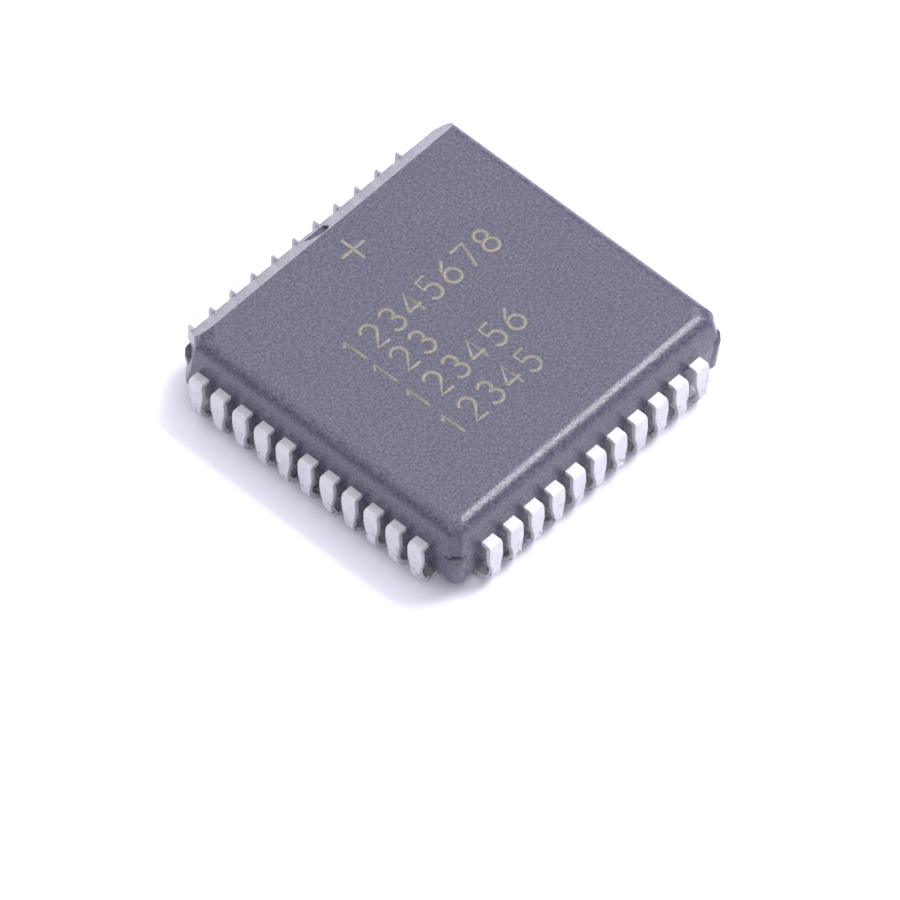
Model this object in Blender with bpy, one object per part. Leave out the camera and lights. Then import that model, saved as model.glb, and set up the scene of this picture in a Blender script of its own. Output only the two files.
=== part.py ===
"""A 44-lead plastic leaded chip carrier: moulded body, J leads with their bond wires, die pad and die.

Metres, +Z up. The origin lies under the middle of the body, in the plane that the leads stand on.
The bevelled side with the index notch faces +Y, and leads are counted anticlockwise from that notch,
as seen from above.
"""

import math
from collections import namedtuple

import bmesh
import bpy
from mathutils import Matrix, Vector

MM = 0.001

# Lead frame
LEADS_PER_SIDE = 11
PITCH = 1.27 * MM
LEAD_THICKNESS = 0.24 * MM
LEAD_HEIGHT = 2.60 * MM  # middle of the frame above the seating plane, and the mould's parting plane
LEAD_REACH = 0.52 * MM  # outer face of the leads beyond the body's wall
SHOULDER_RADIUS = 0.36 * MM  # outside of the bend at the top of a lead
HOOK_RADIUS = 1.00 * MM  # outside of the curl at the bottom of a lead
HOOK_TURN = math.radians(98)  # from the upright run, round the bottom, to the cut end
SHOULDER_WIDTH = 0.69 * MM
BEND_WIDTH = 0.80 * MM  # where the dam bar was cut away
FOOT_WIDTH = 0.50 * MM
TAPER_DROP = 0.80 * MM  # from the lead's top to where it starts to narrow
FINGER_TIP_WIDTH = 0.42 * MM
FINGER_TIP_PITCH = 0.74 * MM
FINGER_GAP = 0.85 * MM  # from the pad's edge to the finger tips
FAN_DEPTH = 0.80 * MM  # the fingers run straight this far inside the wall, then fan in

# Moulded body
END_MARGIN = 1.92 * MM  # from the middle of the end lead to the corner of the body
BODY_TOP = 4.37 * MM
BODY_BOTTOM = 0.90 * MM
TOP_INSET = 0.22 * MM  # draft of the upper half, on each side
BOTTOM_INSET = 0.21 * MM  # draft of the lower half, on each side
TOP_ROUND = 0.60 * MM
CORNER_CUT = 0.40 * MM
INDEX_CORNER_CUT = 1.14 * MM
FOOT_CORNER_CUT = 0.30 * MM
FOOT_INDEX_CUT = 0.42 * MM
INDEX_BEVEL_RUN = 1.06 * MM  # across the top face
INDEX_BEVEL_DROP = 1.18 * MM  # down the side, if the side had no draft
NOTCH_RADIUS = 0.58 * MM
NOTCH_SETBACK = 0.12 * MM  # bevel left standing between the notch and the top face
NOTCH_DEPTH = 0.98 * MM  # floor of the notch below the top face
CHANNEL_RIM = 0.28 * MM
CHANNEL_WIDTH = 0.85 * MM
CHANNEL_DEPTH = 0.35 * MM
CHANNEL_CORNER = 1.10 * MM
EJECTOR_RADIUS = 1.60 * MM
EJECTOR_DEPTH = 0.08 * MM
LIP_RADIUS = 0.53 * MM  # of the rounded lip under each tie bar's end
LIP_REACH = 0.10 * MM  # beyond the corner's flat
INDEX_LIP_REACH = 0.21 * MM
LIP_FOOT_RADIUS = 0.42 * MM
LIP_DRAFT = 0.18 * MM  # how much less the foot of the lip reaches than its top

# Inside the body
PAD_HALF = 3.75 * MM
PAD_DOWNSET = 0.26 * MM
BAR_WIDTH = 0.34 * MM
BAR_RAMP = 0.45 * MM
DIE_HALF = 2.60 * MM
DIE_THICKNESS = 0.36 * MM
ADHESIVE_THICKNESS = 0.04 * MM
ADHESIVE_SPREAD = 0.12 * MM
WIRE_RADIUS = 0.016 * MM
WIRE_RISE = 0.30 * MM
WIRE_FOOT = 0.22 * MM  # from the finger's tip to the wire's weld
WIRE_LAND = 0.18 * MM  # from the die's edge to the wire's ball
WIRE_PITCH = 0.42 * MM  # of the bond pads along the die's edge
FIT = 0.01 * MM  # hairline between pieces that touch

# Fineness of the curves
SHOULDER_STEPS = 4
HOOK_STEPS = 6
BAR_END_STEPS = 4
ROUND_STEPS = 4
CIRCLE_STEPS = 32
WIRE_SIDES = 5
WIRE_STEPS = 5

# Worked out from the sizes above
BODY_HALF = (LEADS_PER_SIDE - 1) / 2 * PITCH + END_MARGIN
TOP_HALF = BODY_HALF - TOP_INSET
FOOT_HALF = BODY_HALF - BOTTOM_INSET
LEAD_FACE = BODY_HALF + LEAD_REACH
LEAD_TOP = LEAD_HEIGHT + LEAD_THICKNESS / 2
LEAD_UNDERSIDE = LEAD_HEIGHT - LEAD_THICKNESS / 2
HOOK_CENTRE = HOOK_RADIUS * math.sin(HOOK_TURN)
FINGER_TIP = PAD_HALF + FINGER_GAP
FAN_START = BODY_HALF - FAN_DEPTH
PAD_HEIGHT = LEAD_HEIGHT - PAD_DOWNSET
ADHESIVE_BOTTOM = PAD_HEIGHT + LEAD_THICKNESS / 2 + FIT
DIE_BOTTOM = ADHESIVE_BOTTOM + ADHESIVE_THICKNESS + FIT
DIE_TOP = DIE_BOTTOM + DIE_THICKNESS
OVERSHOOT = TOP_INSET + BOTTOM_INSET + MM  # cutters run this far past the faces that they open
QUARTER = math.radians(90)
BAR_END_TURN = math.radians(75)  # the round end of a tie bar stops short of a point

# One cross-section of a bent metal strip: its place, the lean of its face and its width
Station = namedtuple("Station", "along side height lean width")


def clear_scene():
    for thing in list(bpy.data.objects):
        bpy.data.objects.remove(thing, do_unlink=True)


def material(name, colour, roughness, metallic):
    made = bpy.data.materials.new(name)
    made.use_nodes = True
    shader = made.node_tree.nodes["Principled BSDF"]
    shader.inputs["Base Color"].default_value = (*colour, 1.0)
    shader.inputs["Roughness"].default_value = roughness
    shader.inputs["Metallic"].default_value = metallic
    return made


def mesh_from(form, name):
    """Turn a bmesh into a mesh whose faces point outwards."""
    bmesh.ops.recalc_face_normals(form, faces=form.faces)
    mesh = bpy.data.meshes.new(name)
    form.to_mesh(mesh)
    form.free()
    return mesh


def add_object(name, mesh, finish=None):
    """Place a mesh in the scene, shaded smooth across its shallow angles."""
    made = bpy.data.objects.new(name, mesh)
    bpy.context.scene.collection.objects.link(made)
    if finish and not mesh.materials:
        mesh.materials.append(finish)
    mesh.shade_smooth()
    mesh.set_sharp_from_angle(angle=math.radians(30))
    return made


def add_tool(name, mesh):
    """Place a mesh that only cuts or joins another and isn't part of the chip."""
    made = add_object(name, mesh)
    made.hide_render = True
    made.display_type = "WIRE"
    return made


def add_boolean(target, tool, operation):
    step = target.modifiers.new(tool.name, "BOOLEAN")
    step.operation = operation
    step.solver = "EXACT"
    step.object = tool


def united(name, meshes):
    """Join meshes that overlap into one closed skin."""
    first, *others = [add_tool(f"{name}_{count}", mesh) for count, mesh in enumerate(meshes)]
    for other in others:
        add_boolean(first, other, "UNION")
    evaluated = first.evaluated_get(bpy.context.evaluated_depsgraph_get())
    joined = bpy.data.meshes.new_from_object(evaluated)
    joined.name = name
    for tool in [first, *others]:
        bpy.data.objects.remove(tool, do_unlink=True)
    return joined


def skin_rings(form, rings):
    """Close a form over rings of points that all have the same count."""
    loops = [[form.verts.new(point) for point in ring] for ring in rings]
    count = len(loops[0])
    for lower, upper in zip(loops, loops[1:]):
        for here in range(count):
            after = (here + 1) % count
            form.faces.new((lower[here], lower[after], upper[after], upper[here]))
    form.faces.new(loops[0])
    form.faces.new(loops[-1])
    return form


def square_outline(half, cut, index_cut=None):
    """Anticlockwise corners of a square with its corners cut off, one of them by a size of its own."""
    points = []
    for quarter, (x, y) in enumerate([(1, 1), (-1, 1), (-1, -1), (1, -1)]):
        leg = index_cut if quarter == 1 and index_cut else cut
        before, after = (x * half, y * (half - leg)), (x * (half - leg), y * half)
        points += [before, after] if x == y else [after, before]
    return points


def at_height(outline, height):
    return [Vector((x, y, height)) for x, y in outline]


def prism(outline, low, high):
    return mesh_from(skin_rings(bmesh.new(), [at_height(outline, low), at_height(outline, high)]), "prism")


def circle(radius, centre=(0, 0)):
    turns = [2 * math.pi * step / CIRCLE_STEPS for step in range(CIRCLE_STEPS)]
    return [(centre[0] + radius * math.cos(a), centre[1] + radius * math.sin(a)) for a in turns]


def strip_rings(stations, grow):
    """Four corner points at each station of a strip of frame metal, made thicker all round by grow."""
    middles = [Vector((s.along, s.side, s.height)) for s in stations]
    middles[0] += (middles[0] - middles[1]).normalized() * grow
    middles[-1] += (middles[-1] - middles[-2]).normalized() * grow
    rings = []
    for station, middle in zip(stations, middles):
        face = Vector((math.sin(station.lean), 0, math.cos(station.lean)))
        up = face * (LEAD_THICKNESS / 2 + grow)
        across = Vector((0, station.width / 2 + grow, 0))
        rings.append([middle + up + across, middle + up - across, middle - up - across, middle - up + across])
    return rings


def finger_stations(step):
    """The flat finger inside the body, fanned in towards the pad."""
    return [
        Station(FINGER_TIP, step * FINGER_TIP_PITCH, LEAD_HEIGHT, 0, FINGER_TIP_WIDTH),
        Station(FAN_START, step * PITCH, LEAD_HEIGHT, 0, SHOULDER_WIDTH),
    ]


def hook_turns():
    """Angles of the curl's stations; the last facet lies flat on the seating plane."""
    flat_start = math.pi - HOOK_TURN
    return [flat_start * count / HOOK_STEPS for count in range(HOOK_STEPS + 1)] + [HOOK_TURN]


def hook_stations(step):
    """The J outside the body: shoulder bend, tapered upright run and curled foot."""
    side = step * PITCH
    stations = []
    bend = SHOULDER_RADIUS - LEAD_THICKNESS / 2
    for count in range(SHOULDER_STEPS + 1):
        lean = QUARTER * count / SHOULDER_STEPS
        along = LEAD_FACE - SHOULDER_RADIUS + bend * math.sin(lean)
        height = LEAD_TOP - SHOULDER_RADIUS + bend * math.cos(lean)
        stations.append(Station(along, side, height, lean, BEND_WIDTH if count else SHOULDER_WIDTH))
    middle = LEAD_FACE - LEAD_THICKNESS / 2
    stations.append(Station(middle, side, LEAD_TOP - TAPER_DROP, QUARTER, BEND_WIDTH))
    curl = HOOK_RADIUS - LEAD_THICKNESS / 2
    for turn in hook_turns():
        along = LEAD_FACE - HOOK_RADIUS + curl * math.cos(turn)
        height = HOOK_CENTRE - curl * math.sin(turn)
        stations.append(Station(along, side, height, QUARTER + turn, FOOT_WIDTH))
    return stations


def wire_path(step):
    """Points of a bond wire, from the middle of its finger, over a low loop, to the top of the die."""
    share = WIRE_FOOT / (FAN_START - FINGER_TIP)
    foot_side = step * (FINGER_TIP_PITCH + (PITCH - FINGER_TIP_PITCH) * share)
    foot = Vector((FINGER_TIP + WIRE_FOOT, foot_side, LEAD_HEIGHT))
    ball = Vector((DIE_HALF - WIRE_LAND, step * WIRE_PITCH, DIE_TOP + WIRE_RADIUS + FIT))
    path = []
    for count in range(WIRE_STEPS + 1):
        share = count / WIRE_STEPS
        path.append(foot.lerp(ball, share) + Vector((0, 0, 4 * WIRE_RISE * share * (1 - share))))
    return path


def wire_mesh(step, grow=0.0):
    """A round wire along its path, made thicker all round by grow."""
    path = wire_path(step)
    across = (path[-1] - path[0]).cross(Vector((0, 0, 1))).normalized()
    rings = []
    for count, point in enumerate(path):
        ahead = path[min(count + 1, WIRE_STEPS)] - path[max(count - 1, 0)]
        up = across.cross(ahead).normalized()
        ring = []
        for side in range(WIRE_SIDES):
            turn = 2 * math.pi * side / WIRE_SIDES
            ring.append(point + (up * math.cos(turn) + across * math.sin(turn)) * (WIRE_RADIUS + grow))
        rings.append(ring)
    return mesh_from(skin_rings(bmesh.new(), rings), "bond_wire")


def lead_mesh(step):
    """A stamped and bent lead with its bond wire welded to the finger."""
    rings = strip_rings(finger_stations(step) + hook_stations(step), 0.0)
    metal = mesh_from(skin_rings(bmesh.new(), rings), "strip")
    return united("lead", [metal, wire_mesh(step)])


def lead_order():
    """Number, side and step along the side of each lead, anticlockwise from the index notch."""
    middle = (LEADS_PER_SIDE - 1) / 2
    for count in range(4 * LEADS_PER_SIDE):
        side, place = divmod(count + LEADS_PER_SIDE // 2, LEADS_PER_SIDE)
        yield count + 1, QUARTER * (side + 1), place - middle


def add_leads(finish):
    """Leads at the same step on the four sides share one mesh, turned a quarter at a time."""
    meshes = {}
    for number, turn, step in lead_order():
        if step not in meshes:
            meshes[step] = lead_mesh(step)
        lead = add_object(f"lead_{number:02d}", meshes[step], finish)
        lead.rotation_euler = (0, 0, turn)


def corner_cut(quarter):
    """Leg of a corner's flat, for quarters counted anticlockwise from the +X +Y corner."""
    return INDEX_CORNER_CUT if quarter == 1 else CORNER_CUT


def lip_centre(quarter):
    """Distance from the middle of the body to the axis of the lip at a corner."""
    reach = INDEX_LIP_REACH if quarter == 1 else LIP_REACH
    return (2 * BODY_HALF - corner_cut(quarter)) / math.sqrt(2) + reach - LIP_RADIUS


def bar_stations(quarter, past):
    """A tie bar from under the edge of the pad, up its ramp and out to its round end, or past it."""
    pad_corner = PAD_HALF * math.sqrt(2)
    ramp = math.atan2(PAD_DOWNSET, BAR_RAMP) / 2
    end = lip_centre(quarter)
    stations = [
        Station(pad_corner - 2 * BAR_WIDTH, 0, PAD_HEIGHT, 0, BAR_WIDTH),
        Station(pad_corner, 0, PAD_HEIGHT, -ramp, BAR_WIDTH),
        Station(pad_corner + BAR_RAMP, 0, LEAD_HEIGHT, -ramp, BAR_WIDTH),
        Station(end - LIP_RADIUS, 0, LEAD_HEIGHT, 0, BAR_WIDTH),
    ]
    if past:
        return stations + [Station(end + reach, 0, LEAD_HEIGHT, 0, 2 * LIP_RADIUS) for reach in (0, past)]
    for count in range(BAR_END_STEPS + 1):
        turn = BAR_END_TURN * count / BAR_END_STEPS
        width = 2 * LIP_RADIUS * math.cos(turn)
        stations.append(Station(end + LIP_RADIUS * math.sin(turn), 0, LEAD_HEIGHT, 0, width))
    return stations


def pad_mesh(grow=0.0, past=0.0):
    """The downset plate with its four tie bars, made thicker all round by grow."""
    plate = square_outline(PAD_HALF + grow, BAR_WIDTH / 2)
    half = LEAD_THICKNESS / 2 + grow
    pieces = [prism(plate, PAD_HEIGHT - half, PAD_HEIGHT + half)]
    for quarter in range(4):
        stations = bar_stations(quarter, past)
        bar = mesh_from(skin_rings(bmesh.new(), strip_rings(stations, grow)), "tie_bar")
        bar.transform(Matrix.Rotation(QUARTER * (quarter + 0.5), 4, "Z"))
        pieces.append(bar)
    return united("die_pad", pieces)


def adhesive_mesh(grow=0.0):
    outline = square_outline(DIE_HALF + ADHESIVE_SPREAD + grow, ADHESIVE_SPREAD)
    return prism(outline, ADHESIVE_BOTTOM - grow, ADHESIVE_BOTTOM + ADHESIVE_THICKNESS + grow)


def die_mesh(grow=0.0):
    outline = square_outline(DIE_HALF + grow, WIRE_RADIUS)
    return prism(outline, DIE_BOTTOM - grow, DIE_TOP + grow)


def body_mesh():
    """The two drafted halves of the moulding, with the top edge rounded over."""
    rings = [
        at_height(square_outline(FOOT_HALF, FOOT_CORNER_CUT, FOOT_INDEX_CUT), BODY_BOTTOM),
        at_height(square_outline(BODY_HALF, CORNER_CUT, INDEX_CORNER_CUT), LEAD_HEIGHT),
    ]
    for count in range(ROUND_STEPS + 1):
        turn = QUARTER * count / ROUND_STEPS
        height = BODY_TOP - TOP_ROUND * (1 - math.sin(turn))
        draft = TOP_INSET * (height - LEAD_HEIGHT) / (BODY_TOP - LEAD_HEIGHT)
        half = BODY_HALF - draft - TOP_ROUND * (1 - math.cos(turn))
        rings.append(at_height(square_outline(half, CORNER_CUT, INDEX_CORNER_CUT), height))
    return mesh_from(skin_rings(bmesh.new(), rings), "moulded_body")


def bevel_tool():
    """A long wedge that takes off the top edge of the +Y side."""
    edge = TOP_HALF - INDEX_BEVEL_RUN
    span = BODY_HALF + OVERSHOOT
    fall = (span - edge) * INDEX_BEVEL_DROP / INDEX_BEVEL_RUN
    high = BODY_TOP + OVERSHOOT
    start = edge - OVERSHOOT * INDEX_BEVEL_RUN / INDEX_BEVEL_DROP
    profile = [(start, high), (span, BODY_TOP - fall), (span, high)]
    rings = [[Vector((x, y, z)) for y, z in profile] for x in (-span, span)]
    return add_tool("index_bevel_cutter", mesh_from(skin_rings(bmesh.new(), rings), "wedge"))


def notch_tool():
    """An upright half-round slot in the middle of the bevel, open to the outside."""
    inner = TOP_HALF - INDEX_BEVEL_RUN + NOTCH_SETBACK
    centre = inner + NOTCH_RADIUS
    outer = BODY_HALF + OVERSHOOT
    arc = [math.pi * (1 + step / (CIRCLE_STEPS / 2)) for step in range(CIRCLE_STEPS // 2 + 1)]
    outline = [(NOTCH_RADIUS * math.cos(a), centre + NOTCH_RADIUS * math.sin(a)) for a in arc]
    outline += [(NOTCH_RADIUS, outer), (-NOTCH_RADIUS, outer)]
    return add_tool("index_notch_cutter", prism(outline, BODY_TOP - NOTCH_DEPTH, BODY_TOP + OVERSHOOT))


def channel_tool():
    """A square groove round the underside, over the ends of the leads."""
    outer = square_outline(FOOT_HALF - CHANNEL_RIM, CHANNEL_CORNER)
    inner = square_outline(FOOT_HALF - CHANNEL_RIM - CHANNEL_WIDTH, CHANNEL_CORNER / 2)
    form = bmesh.new()
    loops = []
    for outline, height in ((outer, 0), (outer, 1), (inner, 1), (inner, 0)):
        level = BODY_BOTTOM + CHANNEL_DEPTH if height else BODY_BOTTOM - OVERSHOOT
        loops.append([form.verts.new(point) for point in at_height(outline, level)])
    for lower, upper in zip(loops, loops[1:] + loops[:1]):
        for here in range(len(lower)):
            after = (here + 1) % len(lower)
            form.faces.new((lower[here], lower[after], upper[after], upper[here]))
    return add_tool("lead_channel_cutter", mesh_from(form, "channel"))


def lip_tool(quarter):
    """The rounded lip that the lower half of the mould leaves under the end of a tie bar."""
    turn = QUARTER * (quarter + 0.5)
    top_away = lip_centre(quarter)
    foot_away = top_away + LIP_RADIUS - LIP_FOOT_RADIUS - LIP_DRAFT
    rings = []
    for away, radius, height in (
        (foot_away, LIP_FOOT_RADIUS, BODY_BOTTOM + FIT),
        (top_away, LIP_RADIUS, LEAD_UNDERSIDE - FIT),
    ):
        centre = (away * math.cos(turn), away * math.sin(turn))
        rings.append(at_height(circle(radius, centre), height))
    return add_tool(f"corner_lip_{quarter + 1}", mesh_from(skin_rings(bmesh.new(), rings), "lip"))


def joined_copies(name, make):
    """One mesh from the copies of a form for every lead, none of which touch each other."""
    form = bmesh.new()
    for _, turn, step in lead_order():
        copy = make(step)
        copy.transform(Matrix.Rotation(turn, 4, "Z"))
        form.from_mesh(copy)
    return mesh_from(form, name)


def finger_slot(step):
    way_out = Station(BODY_HALF + OVERSHOOT, step * PITCH, LEAD_HEIGHT, 0, SHOULDER_WIDTH)
    rings = strip_rings(finger_stations(step) + [way_out], FIT)
    return mesh_from(skin_rings(bmesh.new(), rings), "slot")


def add_body(finish):
    """The compound, with the room that everything moulded into it takes up."""
    body = add_object("moulded_body", body_mesh(), finish)
    ejector = prism(circle(EJECTOR_RADIUS), BODY_BOTTOM - OVERSHOOT, BODY_BOTTOM + EJECTOR_DEPTH)
    for quarter in range(4):
        add_boolean(body, lip_tool(quarter), "UNION")
    tools = [
        bevel_tool(),
        notch_tool(),
        channel_tool(),
        add_tool("ejector_mark_cutter", ejector),
        add_tool("finger_slots_cutter", joined_copies("finger_slots", finger_slot)),
        add_tool("die_pad_cutter", pad_mesh(FIT, OVERSHOOT)),
        add_tool("adhesive_cutter", adhesive_mesh(FIT)),
        add_tool("die_cutter", die_mesh(FIT)),
        add_tool("bond_wires_cutter", joined_copies("bond_wires", lambda step: wire_mesh(step, FIT))),
    ]
    for tool in tools:
        add_boolean(body, tool, "DIFFERENCE")


def main():
    clear_scene()
    compound = material("black_compound", (0.055, 0.052, 0.068), 0.55, 0.0)
    tin = material("matte_tin", (0.78, 0.78, 0.80), 0.35, 1.0)
    copper = material("copper_alloy", (0.72, 0.43, 0.30), 0.40, 1.0)
    silver_epoxy = material("silver_epoxy", (0.52, 0.51, 0.50), 0.60, 0.3)
    silicon = material("silicon", (0.16, 0.17, 0.20), 0.20, 0.4)
    add_body(compound)
    add_leads(tin)
    add_object("die_pad", pad_mesh(), copper)
    add_object("die_adhesive", adhesive_mesh(), silver_epoxy)
    add_object("silicon_die", die_mesh(), silicon)


main()
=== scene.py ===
"""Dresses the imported 44-lead plastic leaded chip carrier.

Makes a finely rounded body, J leads, printed marks, finishes and a stage. Metres, +Z up, in the frame
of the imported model. The leads stand on the plane z = 0.
"""

import math

import bmesh
import bpy
from mathutils import Matrix, Vector


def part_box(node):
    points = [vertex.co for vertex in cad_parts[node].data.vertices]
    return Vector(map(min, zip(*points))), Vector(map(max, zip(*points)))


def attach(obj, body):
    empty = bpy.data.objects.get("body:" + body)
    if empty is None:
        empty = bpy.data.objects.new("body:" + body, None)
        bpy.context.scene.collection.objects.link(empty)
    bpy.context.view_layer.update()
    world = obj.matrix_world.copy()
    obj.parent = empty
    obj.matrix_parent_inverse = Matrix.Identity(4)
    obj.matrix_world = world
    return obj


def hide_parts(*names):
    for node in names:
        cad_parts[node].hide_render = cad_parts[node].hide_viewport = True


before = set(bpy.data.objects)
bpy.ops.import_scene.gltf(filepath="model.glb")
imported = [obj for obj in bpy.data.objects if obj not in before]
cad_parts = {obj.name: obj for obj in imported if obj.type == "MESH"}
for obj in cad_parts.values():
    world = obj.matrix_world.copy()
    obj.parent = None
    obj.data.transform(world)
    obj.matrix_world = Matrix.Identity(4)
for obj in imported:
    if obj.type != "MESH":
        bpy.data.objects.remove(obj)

bl_info = {
    "name": "Leaded Chip Carrier",
    "version": (1, 0, 0),
    "blender": (4, 5, 0),
    "location": "3D View > Sidebar > Chip",
    "description": "Makes the body, leads, marks and finishes of a plastic leaded chip carrier",
    "category": "Object",
}

MM = 0.001
QUARTER = math.pi / 2
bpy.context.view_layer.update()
BODY_LOW, BODY_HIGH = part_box("moulded_body")
PAD_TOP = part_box("die_pad")[1].z
MIDDLE_LEAD_LOW, MIDDLE_LEAD_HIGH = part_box("lead_01")
NEXT_LEAD_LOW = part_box("lead_02")[0]
LEAD_NODES = sorted(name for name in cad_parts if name.startswith("lead_"))
SIDES = 4

# The corner with the large flat. Corners are counted anticlockwise from +X +Y.
INDEX_CORNER = 1
# Gap between a lip and the tie bar's end above it.
HAIRLINE = 0.01 * MM
# How far a cutter stands out of the body.
PAST = MM
# The ends of a stroke are one point where they are nearer than this.
TOUCHING = MM / 1000

# Steps of the round stretches, and places where a lead narrows.
CORNER_STEPS = 4
EDGE_STEPS = 12
NOTCH_STEPS = 24
CIRCLE_STEPS = 48
SHOULDER_STEPS = 8
HOOK_STEPS = 18
TAPER_SHARES = (0.2, 0.4, 0.6, 0.8)

# Edges of the body that turn by more than this are softened.
SOFTENED_TURN = math.radians(32)
# Edges that turn by more than this are shaded sharp.
SHARP_TURN = math.radians(40)

# Rows of the marks: the middle of the row and its count of digits.
MARK_ROWS = ((1.70 * MM, 8), (-0.05 * MM, 3), (-1.97 * MM, 6), (-3.98 * MM, 5))

# Light panels, which lie flat above the chip: name, middle, sides in metres and power.
LIGHT_PANELS = (
    ("overhead_panel", (0.0, 0.0, 0.90), (1.60, 1.60), 9.0),
    ("right_panel", (0.39, -0.145, 0.60), (0.26, 0.45), 6.8),
    ("back_panel", (0.18, 0.45, 0.60), (0.75, 0.50), 0.15),
)
# The point that the camera looks at, its sensor in millimetres, and the span that it sees.
CAMERA_AIM = Vector((-3.7789, -3.6794, 2.2)) * MM
SENSOR_WIDTH = 36.0
NEAREST, FARTHEST = 0.01, 10.0


# Settings


def length(name, description, default):
    """A length property in metres, shown finely enough for a chip."""
    return bpy.props.FloatProperty(
        name=name, description=description, default=default, unit="LENGTH", subtype="DISTANCE", precision=5
    )


def angle(name, description, degrees):
    """An angle property, whose default is given in degrees."""
    return bpy.props.FloatProperty(
        name=name, description=description, default=math.radians(degrees), subtype="ANGLE"
    )


def colour(name, description, default):
    """A colour property: linear red, green and blue."""
    return bpy.props.FloatVectorProperty(
        name=name, description=description, default=default, size=3, min=0.0, max=1.0, subtype="COLOR"
    )


class BodySettings(bpy.types.PropertyGroup):
    """Sizes and colours of the moulded body."""

    half: length("Half Width", "Middle of the body to a side wall, at the leads", 8.27 * MM)
    top_inset: length("Top Draft", "How far the walls lean in from the leads to the top", 0.22 * MM)
    foot_inset: length("Foot Draft", "How far the walls lean in from the leads to the underside", 0.21 * MM)
    top_round: length("Top Rounding", "Radius of the rounded top edge", 0.60 * MM)
    foot_round: length("Foot Rounding", "Radius of the worn edge of the underside", 0.04 * MM)
    corner_cut: length("Corner Cut", "Leg of the three small corner flats", 0.40 * MM)
    index_cut: length("Index Corner Cut", "Leg of the large corner flat by the index side", 1.14 * MM)
    foot_cut: length("Foot Corner Cut", "Leg of the small flats at the underside", 0.30 * MM)
    foot_index_cut: length("Foot Index Cut", "Leg of the large flat at the underside", 0.42 * MM)
    corner_soft: length("Corner Softness", "Reach of the rounding at each end of a corner flat", 0.09 * MM)
    bevel_run: length("Index Bevel Run", "Width of the index bevel across the top", 1.06 * MM)
    bevel_drop: length("Index Bevel Drop", "Height of the index bevel before the wall's draft", 1.18 * MM)
    notch_radius: length("Notch Radius", "Radius of the half-round index notch", 0.58 * MM)
    notch_setback: length("Notch Setback", "Bevel left between the notch and the top face", 0.12 * MM)
    notch_depth: length("Notch Depth", "Top face to the floor of the notch", 0.98 * MM)
    lip_radius: length("Lip Radius", "Radius of the lip under a tie bar's end", 0.53 * MM)
    lip_foot_radius: length("Lip Foot Radius", "Radius of the lip at the underside", 0.42 * MM)
    lip_reach: length("Lip Reach", "How far a lip stands beyond a small corner flat", 0.10 * MM)
    index_lip_reach: length("Index Lip Reach", "How far the lip stands beyond the large flat", 0.21 * MM)
    lip_draft: length("Lip Draft", "How much less a lip reaches at the underside", 0.18 * MM)
    channel_rim: length("Groove Rim", "Rim left outside the groove of the underside", 0.28 * MM)
    channel_width: length("Groove Width", "Width of the groove of the underside", 0.85 * MM)
    channel_depth: length("Groove Depth", "Depth of the groove of the underside", 0.35 * MM)
    channel_corner: length("Groove Corner", "Leg of the groove's corner flats", 1.10 * MM)
    ejector_radius: length("Ejector Mark Radius", "Radius of the underside's middle mark", 1.60 * MM)
    ejector_depth: length("Ejector Mark Depth", "Depth of that mark", 0.08 * MM)
    edge_soft: length("Edge Softness", "Rounding of the edges of bevel, notch and groove", 0.03 * MM)
    dark: colour("Resin", "Darker tone of the moulded compound", (0.030, 0.028, 0.053))
    light: colour("Filler", "Lighter tone of the moulded compound's filler", (0.111, 0.106, 0.154))
    fleck: colour("Flecks", "Bright grains of the filler", (0.32, 0.31, 0.38))


class LeadSettings(bpy.types.PropertyGroup):
    """Sizes and colours of the J leads."""

    per_side: bpy.props.IntProperty(
        name="Leads per Side", description="Leads on each side", default=len(LEAD_NODES) // SIDES, min=1
    )
    pitch: length("Pitch", "Middle of a lead to the middle of the next", MIDDLE_LEAD_LOW.x - NEXT_LEAD_LOW.x)
    face: length("Lead Face", "Middle of the body to the outer face of the leads", MIDDLE_LEAD_HIGH.y)
    top: length("Lead Top", "Upper face of the leads above the seating plane", PAD_TOP)
    thickness: length("Thickness", "Thickness of the lead frame", 0.24 * MM)
    shoulder_radius: length("Shoulder Radius", "Outside of the coined bend at the top", 0.18 * MM)
    shoulder_inside: length("Shoulder Inside Radius", "Inside of the coined bend at the top", 0.05 * MM)
    hook_radius: length("Hook Radius", "Outside of the curl at the bottom", 1.00 * MM)
    hook_turn: angle("Hook Turn", "Turn of the curl to the cut end", 98)
    shoulder_width: length("Shoulder Width", "Width where a lead leaves the body", 0.69 * MM)
    bend_width: length("Bend Width", "Width below the shoulder", MIDDLE_LEAD_HIGH.x - MIDDLE_LEAD_LOW.x)
    foot_width: length("Foot Width", "Width of the curl", 0.50 * MM)
    widen_drop: length("Widening Drop", "Lead's top to where it has its full width", 0.34 * MM)
    taper_drop: length("Taper Drop", "Lead's top to where it starts to narrow", 0.80 * MM)
    edge_soft: length("Edge Softness", "Rounding of the stamped edges", 0.025 * MM)
    root: length("Root", "How far a lead runs on inside the wall", 0.40 * MM)
    scuff_top: length("Scuff Top", "Height where the scuffs begin", 2.1 * MM)
    scuff_foot: length("Scuff Foot", "Height where the scuffs are thickest", 0.7 * MM)
    tin: colour("Tin", "Matte tin plating", (0.60, 0.585, 0.63))
    stain: colour("Tin Stain", "Duller patches of the plating", (0.41, 0.395, 0.43))
    scuff: colour("Scuffs", "Dark specks and rubbed spots towards the feet", (0.20, 0.16, 0.17))


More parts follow.
